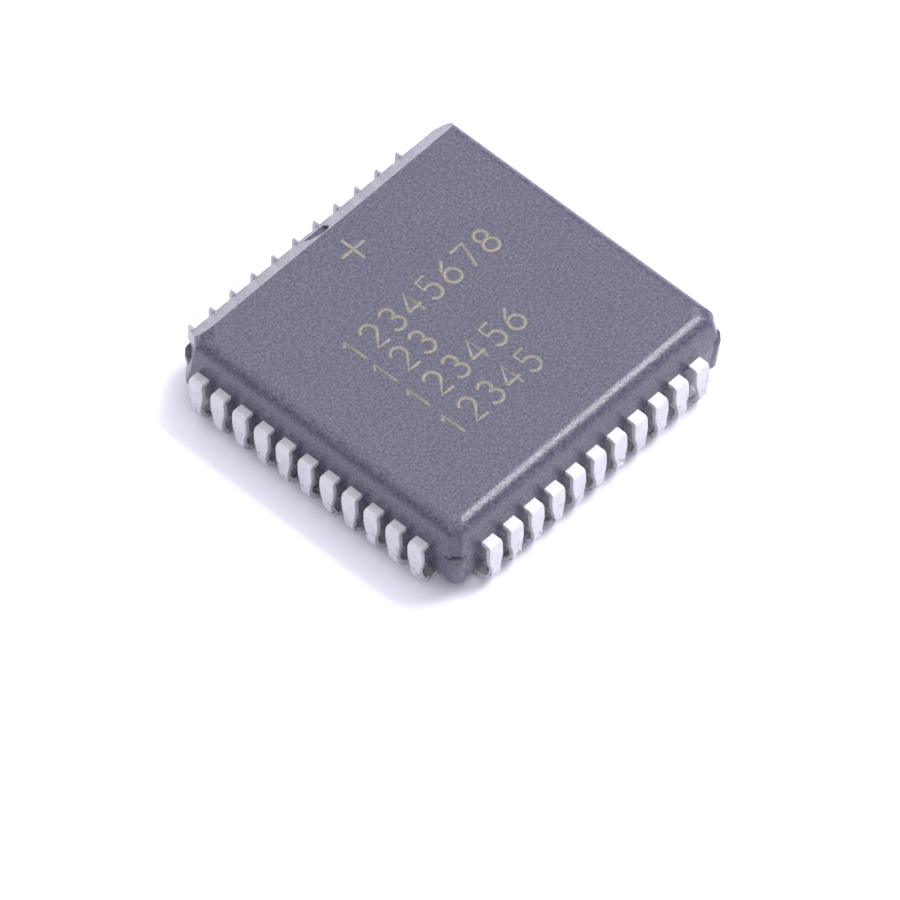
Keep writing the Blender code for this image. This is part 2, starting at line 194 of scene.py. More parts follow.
class MarkSettings(bpy.types.PropertyGroup):
    """Layout and colours of the printed marks."""

    left: length("Left Edge", "Left edge of the rows, from the middle", -4.33 * MM)
    height: length("Digit Height", "Height of a digit", 1.30 * MM)
    width: length("Digit Width", "Width of a digit", 0.80 * MM)
    pitch: length("Digit Pitch", "Left edge of a digit to that of the next", 1.155 * MM)
    stroke: length("Stroke", "Width of the printed lines", 0.19 * MM)
    thickness: length("Ink Thickness", "Thickness of the printed lines", 0.012 * MM)
    plus_size: length("Plus Size", "Length of the arms of the plus", 1.36 * MM)
    plus_place: length("Plus Place", "Middle of the plus, from the middle of the body", 5.50 * MM)
    ink: colour("Ink", "Tone of the printed lines", (0.230, 0.208, 0.180))
    worn: colour("Worn Ink", "Tone where the compound shows through", (0.120, 0.110, 0.112))


class InsideSettings(bpy.types.PropertyGroup):
    """Colours of the pad, the adhesive and the die."""

    # The pad's copper tones are darkened and blued: painted dark reflection of the surroundings on the tie
    # bars' ends.
    copper: colour("Copper", "Darker tone of the dulled pad", (0.055, 0.050, 0.065))
    pale_copper: colour("Pale Copper", "Lighter tone of the dulled pad", (0.105, 0.095, 0.120))
    paste: colour("Paste", "Epoxy between the silver flakes", (0.36, 0.35, 0.34))
    flake: colour("Flakes", "Silver flakes of the adhesive", (0.60, 0.59, 0.58))
    silicon: colour("Silicon", "Darker blocks of the die", (0.12, 0.13, 0.17))
    pale_silicon: colour("Pale Silicon", "Lighter blocks of the die", (0.24, 0.22, 0.30))


class StageSettings(bpy.types.PropertyGroup):
    """Floor, light and viewpoint."""

    floor_size: length("Floor Size", "Side of the floor", 1.6)
    floor_tone: colour("Floor", "Tone of the floor", (0.83, 0.82, 0.91))
    daylight_tone: colour("Daylight Tone", "Tone of the even light", (0.93, 0.94, 1.0))
    daylight: bpy.props.FloatProperty(
        name="Daylight", description="Strength of the even light", default=0.60, min=0.0
    )
    azimuth: angle("Azimuth", "Viewpoint's turn round the chip", -45.740)
    elevation: angle("Elevation", "Viewpoint's height above the floor", 52.555)
    roll: angle("Roll", "Tilt of the picture", -1.124)
    distance: length("Distance", "Camera to the point that it looks at", 555.863 * MM)
    lens: bpy.props.FloatProperty(
        name="Lens", description="Focal length in millimetres", default=530.2324, subtype="DISTANCE_CAMERA"
    )


# Meshes


def mesh_of(form, name):
    """Turn a bmesh into a mesh and free it."""
    mesh = bpy.data.meshes.new(name)
    form.to_mesh(mesh)
    form.free()
    return mesh


def solid_of(form, name):
    """Turn a closed bmesh into a mesh whose faces point outwards."""
    bmesh.ops.recalc_face_normals(form, faces=form.faces)
    return mesh_of(form, name)


def place(name, mesh):
    """A new object at the origin."""
    made = bpy.data.objects.new(name, mesh)
    bpy.context.scene.collection.objects.link(made)
    return made


def settled(source, name):
    """A plain object with the shape that another has after its modifiers; the other is removed."""
    evaluated = source.evaluated_get(bpy.context.evaluated_depsgraph_get())
    mesh = bpy.data.meshes.new_from_object(evaluated)
    bpy.data.objects.remove(source, do_unlink=True)
    mesh.name = name
    return place(name, mesh)


def with_flat_faces(source, name):
    """The same mesh shaded smoothly over its small rounds, with the light on its large faces kept flat."""
    source.data.shade_smooth()
    source.data.set_sharp_from_angle(angle=SHARP_TURN)
    weighted = source.modifiers.new("weighted", "WEIGHTED_NORMAL")
    weighted.weight = 100
    weighted.keep_sharp = True
    return settled(source, name)


def bridge(form, lower, upper):
    """Join two loops of as many vertices with a band of faces."""
    for here in range(len(lower)):
        after = (here + 1) % len(lower)
        form.faces.new((lower[here], lower[after], upper[after], upper[here]))


def skin_rings(form, rings):
    """Close a form over rings of points that all have the same count."""
    loops = [[form.verts.new(point) for point in ring] for ring in rings]
    for lower, upper in zip(loops, loops[1:]):
        bridge(form, lower, upper)
    form.faces.new(loops[0])
    form.faces.new(loops[-1])
    return form


def square_outline(half, cut, index_cut, soft=0.0, steps=1):
    """Anticlockwise outline of a square with a flat at each corner, softened at the ends of the flats."""
    points = []
    for corner, (x, y) in enumerate([(1, 1), (-1, 1), (-1, -1), (1, -1)]):
        leg = index_cut if corner == INDEX_CORNER else cut
        before, after = Vector((x * half, y * (half - leg))), Vector((x * (half - leg), y * half))
        points += [before, after] if x == y else [after, before]
    if not soft:
        return points
    softened = []
    for here, point in enumerate(points):
        reach_back = (points[here - 1] - point).normalized() * soft
        reach_on = (points[(here + 1) % len(points)] - point).normalized() * soft
        for step in range(steps + 1):
            share = step / steps
            softened.append(point + reach_back * (1 - share) ** 2 + reach_on * share**2)
    return softened


def circle(radius, centre=(0.0, 0.0)):
    turns = [2 * math.pi * step / CIRCLE_STEPS for step in range(CIRCLE_STEPS)]
    return [(centre[0] + radius * math.cos(turn), centre[1] + radius * math.sin(turn)) for turn in turns]


def at_height(outline, height):
    return [Vector((point[0], point[1], height)) for point in outline]


def body_shell(body, lead):
    """The two drafted halves of the moulding, with the top edge rounded and the index bevel cut off."""
    low, parting, high = BODY_LOW.z, PAD_TOP - lead.thickness / 2, BODY_HIGH.z
    foot = body.half - body.foot_inset

    def ring(half, cut, index_cut, height):
        return at_height(square_outline(half, cut, index_cut, body.corner_soft, CORNER_STEPS), height)

    rings = [
        ring(foot - body.foot_round, body.foot_cut, body.foot_index_cut, low),
        ring(foot, body.foot_cut, body.foot_index_cut, low + body.foot_round),
        ring(body.half, body.corner_cut, body.index_cut, parting),
    ]
    for step in range(EDGE_STEPS + 1):
        turn = QUARTER * step / EDGE_STEPS
        height = high - body.top_round * (1 - math.sin(turn))
        draft = body.top_inset * (height - parting) / (high - parting)
        half = body.half - draft - body.top_round * (1 - math.cos(turn))
        rings.append(ring(half, body.corner_cut, body.index_cut, height))
    form = skin_rings(bmesh.new(), rings)
    edge = Vector((0.0, body.half - body.top_inset - body.bevel_run, high))
    slope = Vector((0.0, body.bevel_drop, body.bevel_run)).normalized()
    cut = bmesh.ops.bisect_plane(
        form, geom=[*form.verts, *form.edges, *form.faces], plane_co=edge, plane_no=slope, clear_outer=True
    )
    rim = [piece for piece in cut["geom_cut"] if isinstance(piece, bmesh.types.BMEdge)]
    bmesh.ops.contextual_create(form, geom=rim)
    return solid_of(form, "body_shell")


def lips(body, lead):
    """The four rounded lips under the ends of the tie bars."""
    bar_underside = PAD_TOP - lead.thickness
    form = bmesh.new()
    for corner in range(SIDES):
        leg, reach = body.corner_cut, body.lip_reach
        if corner == INDEX_CORNER:
            leg, reach = body.index_cut, body.index_lip_reach
        turn = QUARTER * (corner + 0.5)
        top_away = (2 * body.half - leg) / math.sqrt(2) + reach - body.lip_radius
        foot_away = top_away + body.lip_radius - body.lip_foot_radius - body.lip_draft
        rings = []
        for away, radius, height in (
            (foot_away, body.lip_foot_radius, BODY_LOW.z + body.foot_round / 2),
            (top_away, body.lip_radius, bar_underside - HAIRLINE),
        ):
            centre = (away * math.cos(turn), away * math.sin(turn))
            rings.append(at_height(circle(radius, centre), height))
        skin_rings(form, rings)
    return solid_of(form, "lips")


def notch_outline(body):
    """The index notch from above: a half round that runs out past the wall."""
    radius = body.notch_radius
    inner = body.half - body.top_inset - body.bevel_run + body.notch_setback
    turns = [math.pi * (1 + step / NOTCH_STEPS) for step in range(NOTCH_STEPS + 1)]
    arc = [(radius * math.cos(turn), inner + radius * (1 + math.sin(turn))) for turn in turns]
    return arc + [(radius, body.half + PAST), (-radius, body.half + PAST)]


def add_groove(form, body):
    """Add the cutter of the groove that runs round the underside."""
    reach = body.half - body.foot_inset - body.channel_rim
    rim = square_outline(reach, body.channel_corner, body.channel_corner)
    island_corner = body.channel_corner / 2
    island = square_outline(reach - body.channel_width, island_corner, island_corner)
    deep, below = BODY_LOW.z + body.channel_depth, BODY_LOW.z - PAST
    loops = []
    for outline, height in ((rim, below), (rim, deep), (island, deep), (island, below)):
        loops.append([form.verts.new(point) for point in at_height(outline, height)])
    for lower, upper in zip(loops, loops[1:] + loops[:1]):
        bridge(form, lower, upper)


def body_cuts(body):
    """Everything that is cut out of the body: index notch, groove of the underside and ejector mark."""
    form = bmesh.new()
    notch = notch_outline(body)
    skin_rings(form, [at_height(notch, BODY_HIGH.z - body.notch_depth), at_height(notch, BODY_HIGH.z + PAST)])
    add_groove(form, body)
    mark = circle(body.ejector_radius)
    skin_rings(form, [at_height(mark, BODY_LOW.z - PAST), at_height(mark, BODY_LOW.z + body.ejector_depth)])
    return solid_of(form, "body_cuts")


def add_boolean(target, tool, operation):
    step = target.modifiers.new(tool.name, "BOOLEAN")
    step.operation = operation
    step.solver = "EXACT"
    step.object = tool


def lead_section(lead, width):
    """Eight points round a lead's section, with soft corners.

    Each is (across in metres, up from -1 on the inner face to 1 on the outer face).
    """
    side, flat = width / 2, width / 2 - lead.edge_soft
    rise = 1 - lead.edge_soft / (lead.thickness / 2)
    return [
        (flat, 1), (-flat, 1), (-side, rise), (-side, -rise),
        (-flat, -1), (flat, -1), (side, -rise), (side, rise),
    ]


def bent(centre, radius, turn):
    """A point (outwards, height) on a bend, turned from its top."""
    return Vector((centre[0] + radius * math.sin(turn), centre[1] + radius * math.cos(turn)))


def lead_path(lead):
    """Places along a lead as (outer point, inner point, width), from inside the wall to the cut end.

    A lead gets half of its widening over the shoulder bend and the rest down to the widening drop.
    """
    thick, bend, inside, curl = lead.thickness, lead.shoulder_radius, lead.shoulder_inside, lead.hook_radius
    start = lead.face - bend - lead.root
    path = [(Vector((start, lead.top)), Vector((start, lead.top - thick)), lead.shoulder_width)]
    outer_centre = (lead.face - bend, lead.top - bend)
    inner_centre = (lead.face - thick - inside, lead.top - thick - inside)
    for step in range(SHOULDER_STEPS + 1):
        turn = QUARTER * step / SHOULDER_STEPS
        width = lead.shoulder_width + (lead.bend_width - lead.shoulder_width) * turn / math.pi
        path.append((bent(outer_centre, bend, turn), bent(inner_centre, inside, turn), width))
    hook_centre = (lead.face - curl, curl * math.sin(lead.hook_turn))
    low = lead.top - lead.taper_drop
    upright = [(lead.top - lead.widen_drop, lead.bend_width), (low, lead.bend_width)]
    for share in TAPER_SHARES:
        eased = share * share * (3 - 2 * share)
        width = lead.bend_width + (lead.foot_width - lead.bend_width) * eased
        upright.append((low + (hook_centre[1] - low) * share, width))
    for height, width in upright:
        path.append((Vector((lead.face, height)), Vector((lead.face - thick, height)), width))
    sole_turn = math.pi - lead.hook_turn
    turns = [sole_turn * step / HOOK_STEPS for step in range(HOOK_STEPS + 1)]
    for turn in (*turns, lead.hook_turn):
        lean = QUARTER + turn
        path.append((bent(hook_centre, curl, lean), bent(hook_centre, curl - thick, lean), lead.foot_width))
    return path


def lead_form(lead):
    """One J lead, on the +Y side and in the middle of it."""
    rings = []
    for outer, inner, width in lead_path(lead):
        middle, half = (outer + inner) / 2, (outer - inner) / 2
        ring = []
        for across, up in lead_section(lead, width):
            out, height = middle + half * up
            ring.append(Vector((across, out, height)))
        rings.append(ring)
    return solid_of(skin_rings(bmesh.new(), rings), "one_lead")


def arc_points(centre, reach, start, end, steps=14):
    """Points on an ellipse's arc; angles in degrees, anticlockwise from the right."""
    turns = [math.radians(start + (end - start) * step / steps) for step in range(steps + 1)]
    return [(centre[0] + reach[0] * math.cos(turn), centre[1] + reach[1] * math.sin(turn)) for turn in turns]


def digit_strokes(digit):
    """Pen strokes of a plain digit from 1 to 8, in a box that is one wide and one high."""
    upper = ((0.5, 0.76), (0.38, 0.24))
    lower = ((0.5, 0.27), (0.46, 0.27))
    whole = (0, 360, 24)
    strokes = {
        1: [[(0.3, 0.8), (0.6, 1.0), (0.6, 0.0)]],
        2: [arc_points((0.5, 0.7), (0.44, 0.3), 165, -35) + [(0.04, 0.0), (0.96, 0.0)]],
        3: [arc_points(*upper, 155, -90), arc_points(*lower, 90, -155)],
        4: [[(0.74, 0.0), (0.74, 1.0), (0.02, 0.3)], [(0.02, 0.3), (0.98, 0.3)]],
        5: [[(0.88, 1.0), (0.18, 1.0)] + arc_points((0.48, 0.31), (0.46, 0.31), 130, -150)],
        6: [[(0.76, 1.0), (0.3, 0.72), (0.04, 0.3)], arc_points((0.5, 0.3), (0.46, 0.3), *whole)],
        7: [[(0.02, 1.0), (0.96, 1.0), (0.36, 0.0)]],
        8: [arc_points(*upper, *whole), arc_points(*lower, *whole)],
    }
    return strokes[digit]


def add_stroke(form, points, height):
    """Add a stroke as a chain of edges, closed where it ends at its start."""
    closed = math.dist(points[0], points[-1]) < TOUCHING
    verts = [form.verts.new((x, y, height)) for x, y in (points[:-1] if closed else points)]
    for here, after in zip(verts, verts[1:]):
        form.edges.new((here, after))
    if closed:
        form.edges.new((verts[-1], verts[0]))


def mark_lines(mark, height):
    """The lines of the plus and of the rows, which count up from one. Lines that cross lie a hair apart."""
    lift = mark.thickness / 6
    arm, middle = mark.plus_size / 2, mark.plus_place
    signs = [[[(-arm, middle), (arm, middle)], [(0, middle - arm), (0, middle + arm)]]]
    for row_middle, count in MARK_ROWS:
        foot = row_middle - mark.height / 2
        for place_in_row in range(count):
            left = mark.left + place_in_row * mark.pitch
            signs.append([
                [(left + x * mark.width, foot + y * mark.height) for x, y in stroke]
                for stroke in digit_strokes(place_in_row + 1)
            ])
    form = bmesh.new()
    for strokes in signs:
        for order, points in enumerate(strokes):
            add_stroke(form, points, height + order * lift)
    return mesh_of(form, "mark_lines")


# Geometry Nodes


def new_tree(name, inputs):
    """An empty geometry tree with named inputs, and its input and output nodes."""
    tree = bpy.data.node_groups.new(name, "GeometryNodeTree")
    tree.interface.new_socket("Geometry", in_out="INPUT", socket_type="NodeSocketGeometry")
    tree.interface.new_socket("Geometry", in_out="OUTPUT", socket_type="NodeSocketGeometry")
    for socket, kind in inputs:
        tree.interface.new_socket(socket, in_out="INPUT", socket_type=kind)
    return tree, tree.nodes.new("NodeGroupInput"), tree.nodes.new("NodeGroupOutput")


def math_node(tree, operation, first, second):
    """The result of a Math node; each value is a number or a socket."""
    made = tree.nodes.new("ShaderNodeMath")
    made.operation = operation
    for socket, value in zip(made.inputs, (first, second)):
        if isinstance(value, bpy.types.NodeSocket):
            tree.links.new(value, socket)
        else:
            socket.default_value = value
    return made.outputs[0]


def finish_tree(tree, geometry, group_in, group_out):
    """Realize, give the material and hand out the result."""
    realize = tree.nodes.new("GeometryNodeRealizeInstances")
    finish = tree.nodes.new("GeometryNodeSetMaterial")
    tree.links.new(geometry, realize.inputs["Geometry"])
    tree.links.new(realize.outputs["Geometry"], finish.inputs["Geometry"])
    tree.links.new(group_in.outputs["Material"], finish.inputs["Material"])
    tree.links.new(finish.outputs["Geometry"], group_out.inputs["Geometry"])


def lead_rows_tree():
    """Repeats a lead along a side at the pitch, and the side round the body."""
    tree, group_in, group_out = new_tree(
        "lead_rows",
        [
            ("Leads per Side", "NodeSocketInt"),
            ("Pitch", "NodeSocketFloat"),
            ("Sides", "NodeSocketInt"),
            ("Material", "NodeSocketMaterial"),
        ],
    )
    links = tree.links
    gaps = math_node(tree, "SUBTRACT", group_in.outputs["Leads per Side"], 1.0)
    start = math_node(tree, "MULTIPLY", math_node(tree, "MULTIPLY", gaps, group_in.outputs["Pitch"]), -0.5)
    start_point, offset = tree.nodes.new("ShaderNodeCombineXYZ"), tree.nodes.new("ShaderNodeCombineXYZ")
    links.new(start, start_point.inputs["X"])
    links.new(group_in.outputs["Pitch"], offset.inputs["X"])
    row = tree.nodes.new("GeometryNodeMeshLine")
    links.new(group_in.outputs["Leads per Side"], row.inputs["Count"])
    links.new(start_point.outputs["Vector"], row.inputs["Start Location"])
    links.new(offset.outputs["Vector"], row.inputs["Offset"])
    along = tree.nodes.new("GeometryNodeInstanceOnPoints")
    links.new(row.outputs["Mesh"], along.inputs["Points"])
    links.new(group_in.outputs["Geometry"], along.inputs["Instance"])
    side = tree.nodes.new("GeometryNodeRealizeInstances")
    links.new(along.outputs["Instances"], side.inputs["Geometry"])
    sides = tree.nodes.new("GeometryNodeMeshLine")
    sides.inputs["Offset"].default_value = (0.0, 0.0, 0.0)
    links.new(group_in.outputs["Sides"], sides.inputs["Count"])
    index = tree.nodes.new("GeometryNodeInputIndex")
    share = math_node(tree, "DIVIDE", index.outputs["Index"], group_in.outputs["Sides"])
    turn = tree.nodes.new("ShaderNodeCombineXYZ")
    links.new(math_node(tree, "MULTIPLY", share, 2 * math.pi), turn.inputs["Z"])
    around = tree.nodes.new("GeometryNodeInstanceOnPoints")
    links.new(sides.outputs["Mesh"], around.inputs["Points"])
    links.new(side.outputs["Geometry"], around.inputs["Instance"])
    links.new(turn.outputs["Vector"], around.inputs["Rotation"])
    finish_tree(tree, around.outputs["Instances"], group_in, group_out)
    return tree


def ink_lines_tree():
    """Lays a flat ribbon of ink along each line."""
    tree, group_in, group_out = new_tree(
        "ink_lines",
        [
            ("Stroke", "NodeSocketFloat"),
            ("Thickness", "NodeSocketFloat"),
            ("Material", "NodeSocketMaterial"),
        ],
    )
    links = tree.links
    line = tree.nodes.new("GeometryNodeMeshToCurve")
    links.new(group_in.outputs["Geometry"], line.inputs["Mesh"])
    upright = tree.nodes.new("GeometryNodeSetCurveNormal")
    upright.mode = "Z_UP"
    links.new(line.outputs["Curve"], upright.inputs["Curve"])
    section = tree.nodes.new("GeometryNodeCurvePrimitiveQuadrilateral")
    links.new(group_in.outputs["Stroke"], section.inputs["Width"])
    links.new(group_in.outputs["Thickness"], section.inputs["Height"])
    ribbon = tree.nodes.new("GeometryNodeCurveToMesh")
    ribbon.inputs["Fill Caps"].default_value = True
    links.new(upright.outputs["Curve"], ribbon.inputs["Curve"])
    links.new(section.outputs["Curve"], ribbon.inputs["Profile Curve"])
    finish_tree(tree, ribbon.outputs["Mesh"], group_in, group_out)
    return tree


def grown(source, tree, values, name):
    """The plain mesh that a geometry tree makes of a source object."""
    step = source.modifiers.new(tree.name, "NODES")
    step.node_group = tree
    sockets = {item.name: item.identifier for item in tree.interface.items_tree if item.in_out == "INPUT"}
    for label, value in values.items():
        step[sockets[label]] = value
    return settled(source, name)


# Finishes


def grain_group():
    """Shared grain: an uneven tone with sparse flecks, and the height that goes with it."""
    made = bpy.data.node_groups.get("grain")
    if made:
        return made
    tree = bpy.data.node_groups.new("grain", "ShaderNodeTree")
    for socket, kind, default in (
        ("Vector", "NodeSocketVector", None),
        ("Scale", "NodeSocketFloat", 10000.0),
        ("Low", "NodeSocketFloat", 0.35),
        ("High", "NodeSocketFloat", 0.65),
        ("Fleck Size", "NodeSocketFloat", 0.2),
    ):
        made_socket = tree.interface.new_socket(socket, in_out="INPUT", socket_type=kind)
        if default is not None:
            made_socket.default_value = default
    for socket in ("Tone", "Flecks", "Height"):
        tree.interface.new_socket(socket, in_out="OUTPUT", socket_type="NodeSocketFloat")
    group_in, group_out = tree.nodes.new("NodeGroupInput"), tree.nodes.new("NodeGroupOutput")
    noise = tree.nodes.new("ShaderNodeTexNoise")
    noise.inputs["Detail"].default_value = 4.0
    noise.inputs["Roughness"].default_value = 0.62
    tree.links.new(group_in.outputs["Vector"], noise.inputs["Vector"])
    tree.links.new(group_in.outputs["Scale"], noise.inputs["Scale"])
    tone = tree.nodes.new("ShaderNodeMapRange")
    tree.links.new(noise.outputs["Fac"], tone.inputs["Value"])
    tree.links.new(group_in.outputs["Low"], tone.inputs["From Min"])
    tree.links.new(group_in.outputs["High"], tone.inputs["From Max"])
    cells = tree.nodes.new("ShaderNodeTexVoronoi")
    tree.links.new(group_in.outputs["Vector"], cells.inputs["Vector"])
    tree.links.new(group_in.outputs["Scale"], cells.inputs["Scale"])
    near = math_node(tree, "LESS_THAN", cells.outputs["Distance"], group_in.outputs["Fleck Size"])
    pick = tree.nodes.new("ShaderNodeSeparateColor")
    tree.links.new(cells.outputs["Color"], pick.inputs["Color"])
    plain_share, fleck_rise = 0.7, 0.6
    some = math_node(tree, "GREATER_THAN", pick.outputs["Red"], plain_share)
    flecks = math_node(tree, "MULTIPLY", near, some)
    height = math_node(tree, "ADD", tone.outputs["Result"], math_node(tree, "MULTIPLY", flecks, fleck_rise))
    tree.links.new(tone.outputs["Result"], group_out.inputs["Tone"])
    tree.links.new(flecks, group_out.inputs["Flecks"])
    tree.links.new(height, group_out.inputs["Height"])
    return tree


def grain_node(tree, coordinates, size, low=0.35, high=0.65, fleck=0.2):
    """The shared grain in a material, with features of about the given size in metres."""
    node = tree.nodes.new("ShaderNodeGroup")
    node.node_tree = grain_group()
    node.inputs["Scale"].default_value = 1 / size
    node.inputs["Low"].default_value = low
    node.inputs["High"].default_value = high
    node.inputs["Fleck Size"].default_value = fleck
    tree.links.new(coordinates, node.inputs["Vector"])
    return node


def mixed_colour(tree, share, first, second):
    """A colour between two, each a plain colour or a socket."""
    mix = tree.nodes.new("ShaderNodeMix")
    mix.data_type = "RGBA"
    tree.links.new(share, mix.inputs["Factor"])
    for socket, value in (("A", first), ("B", second)):
        target = next(s for s in mix.inputs if s.name == socket and s.type == "RGBA")
        if isinstance(value, bpy.types.NodeSocket):
            tree.links.new(value, target)
        else:
            target.default_value = (*value, 1.0)
    return next(s for s in mix.outputs if s.type == "RGBA")


def spread(tree, value, low, high):
    """Map a value between 0 and 1 to a range."""
    made = tree.nodes.new("ShaderNodeMapRange")
    made.inputs["To Min"].default_value = low
    made.inputs["To Max"].default_value = high
    tree.links.new(value, made.inputs["Value"])
    return made.outputs["Result"]


def start_material(name):
    """A new material, its Principled shader and the object coordinates."""
    made = bpy.data.materials.new(name)
    made.use_nodes = True
    tree = made.node_tree
    coordinates = tree.nodes.new("ShaderNodeTexCoord").outputs["Object"]
    return made, tree, tree.nodes["Principled BSDF"], coordinates


def add_bump(tree, shader, height, depth, strength=1.0):
    """Let a height roughen the shader's surface to the given depth in metres."""
    bump = tree.nodes.new("ShaderNodeBump")
    bump.inputs["Distance"].default_value = depth
    bump.inputs["Strength"].default_value = strength
    tree.links.new(height, bump.inputs["Height"])
    tree.links.new(bump.outputs["Normal"], shader.inputs["Normal"])


def compound_finish(body):
    """Moulded epoxy: speckled filler in dark resin, with the mould's fine matte texture."""
    made, tree, shader, coordinates = start_material("moulded_compound")
    fine = grain_node(tree, coordinates, size=0.125 * MM, low=0.32, high=0.68, fleck=0.30)
    patches = grain_node(tree, coordinates, size=2.6 * MM, low=0.25, high=0.75)
    speckled = mixed_colour(tree, fine.outputs["Tone"], body.dark, body.light)
    fleck_share = spread(tree, fine.outputs["Flecks"], 0.0, 0.18)
    flecked = mixed_colour(tree, fleck_share, speckled, body.fleck)
    cloud_share = spread(tree, patches.outputs["Tone"], 0.0, 0.18)
    clouded = mixed_colour(tree, cloud_share, flecked, body.dark)
    tree.links.new(clouded, shader.inputs["Base Color"])
    tree.links.new(spread(tree, fine.outputs["Tone"], 0.32, 0.20), shader.inputs["Roughness"])
    shader.inputs["Specular IOR Level"].default_value = 0.48
    add_bump(tree, shader, fine.outputs["Height"], depth=0.008 * MM, strength=0.8)
    return made


def tin_finish(lead):
    """Matte tin plating with duller patches, fine forming marks and scuffs that thicken to the feet."""
    made, tree, shader, coordinates = start_material("matte_tin_plating")
    fine = grain_node(tree, coordinates, size=0.05 * MM, low=0.3, high=0.7)
    patches = grain_node(tree, coordinates, size=0.45 * MM, low=0.45, high=0.75)
    specks = grain_node(tree, coordinates, size=0.26 * MM, low=0.55, high=0.63)
    axes = tree.nodes.new("ShaderNodeSeparateXYZ")
    tree.links.new(coordinates, axes.inputs["Vector"])
    lowness = tree.nodes.new("ShaderNodeMapRange")
    lowness.inputs["From Min"].default_value = lead.scuff_top
    lowness.inputs["From Max"].default_value = lead.scuff_foot
    tree.links.new(axes.outputs["Z"], lowness.inputs["Value"])
    scuffed = math_node(tree, "MULTIPLY", specks.outputs["Tone"], lowness.outputs["Result"])
    stained = spread(tree, patches.outputs["Tone"], 0.0, 0.55)
    plated = mixed_colour(tree, stained, lead.tin, lead.stain)
    tree.links.new(mixed_colour(tree, scuffed, plated, lead.scuff), shader.inputs["Base Color"])
    tree.links.new(spread(tree, fine.outputs["Tone"], 0.46, 0.62), shader.inputs["Roughness"])
    shader.inputs["Metallic"].default_value = 0.20
    add_bump(tree, shader, fine.outputs["Height"], depth=0.003 * MM, strength=0.5)
    return made


def ink_finish(mark):
    """Thin pale print, worn where the compound's grain stands through it."""
    made, tree, shader, coordinates = start_material("pale_print")
    fine = grain_node(tree, coordinates, size=0.07 * MM, low=0.35, high=0.6)
    printed = mixed_colour(tree, fine.outputs["Tone"], mark.worn, mark.ink)
    tree.links.new(printed, shader.inputs["Base Color"])
    tree.links.new(spread(tree, fine.outputs["Tone"], 0.62, 0.50), shader.inputs["Roughness"])
    add_bump(tree, shader, fine.outputs["Height"], depth=0.004 * MM, strength=0.5)
    return made


def copper_finish(inside):
    """Bare copper alloy of the stamped pad; its tones are darkened and blued as a painted dark reflection of
    the surroundings.
    """
    made, tree, shader, coordinates = start_material("copper_alloy_painted_dark_reflection")
    patches = grain_node(tree, coordinates, size=0.30 * MM, low=0.3, high=0.7)
    fine = grain_node(tree, coordinates, size=0.04 * MM)
    # Painted dark reflection: the darkened, bluish copper tones stand in for the dark surroundings that the
    # tie bars' ends mirror.
    darkened = mixed_colour(tree, patches.outputs["Tone"], inside.copper, inside.pale_copper)
    tree.links.new(darkened, shader.inputs["Base Color"])
    tree.links.new(spread(tree, fine.outputs["Tone"], 0.45, 0.60), shader.inputs["Roughness"])
    shader.inputs["Metallic"].default_value = 0.35
    add_bump(tree, shader, fine.outputs["Height"], depth=0.003 * MM, strength=0.5)
    return made


def adhesive_finish(inside):
    """Silver-filled epoxy: grey paste with bright flakes."""
    made, tree, shader, coordinates = start_material("silver_filled_epoxy")
    flakes = grain_node(tree, coordinates, size=0.03 * MM, low=0.3, high=0.7, fleck=0.35)
    filled = mixed_colour(tree, flakes.outputs["Tone"], inside.paste, inside.flake)
    tree.links.new(filled, shader.inputs["Base Color"])
    tree.links.new(spread(tree, flakes.outputs["Flecks"], 0.0, 1.0), shader.inputs["Metallic"])
    shader.inputs["Roughness"].default_value = 0.55
    add_bump(tree, shader, flakes.outputs["Height"], depth=0.003 * MM)
    return made


def silicon_finish(inside):
    """Polished silicon with the faint blocks of a patterned surface."""
    made, tree, shader, coordinates = start_material("patterned_silicon")
    block_size = 0.7 * MM
    blocks = tree.nodes.new("ShaderNodeTexVoronoi")
    blocks.distance = "CHEBYCHEV"
    blocks.inputs["Scale"].default_value = 1 / block_size
    tree.links.new(coordinates, blocks.inputs["Vector"])
    pick = tree.nodes.new("ShaderNodeSeparateColor")
    tree.links.new(blocks.outputs["Color"], pick.inputs["Color"])
    patterned = mixed_colour(tree, pick.outputs["Red"], inside.silicon, inside.pale_silicon)
    tree.links.new(patterned, shader.inputs["Base Color"])
    tree.links.new(spread(tree, pick.outputs["Green"], 0.15, 0.28), shader.inputs["Roughness"])
    shader.inputs["Metallic"].default_value = 0.4
    return made


def floor_finish(stage):
    """Plain pale card with a trace of unevenness."""
    made, tree, shader, coordinates = start_material("pale_floor")
    patches = grain_node(tree, coordinates, size=40 * MM, low=0.2, high=0.8)
    lift = 1.02
    paler = tuple(min(1.0, tone * lift) for tone in stage.floor_tone)
    uneven = mixed_colour(tree, patches.outputs["Tone"], tuple(stage.floor_tone), paler)
    tree.links.new(uneven, shader.inputs["Base Color"])
    shader.inputs["Roughness"].default_value = 0.8
    return made


# Operators


class CHIP_OT_body(bpy.types.Operator):
    """Make the moulded body with its rounded top edge, index bevel, notch, lips and underside groove"""

    bl_idname = "chip.make_body"
    bl_label = "Moulded Body"

    def execute(self, context):
        settings, lead = context.scene.chip_body, context.scene.chip_leads
        shell = place("shell", body_shell(settings, lead))
        tools = [place("lips", lips(settings, lead)), place("cuts", body_cuts(settings))]
        add_boolean(shell, tools[0], "UNION")
        add_boolean(shell, tools[1], "DIFFERENCE")
        soften = shell.modifiers.new("soften", "BEVEL")
        soften.width = settings.edge_soft
        soften.segments = 2
        soften.limit_method = "ANGLE"
        soften.angle_limit = SOFTENED_TURN
        body = with_flat_faces(settled(shell, "softened_body"), "package_body")
        for tool in tools:
            bpy.data.objects.remove(tool, do_unlink=True)
        if not body.data.polygons:
            raise RuntimeError("the body came out empty")
        body.data.materials.clear()
        body.data.materials.append(compound_finish(settings))
        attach(body, "root")
        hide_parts("moulded_body")
        return {"FINISHED"}


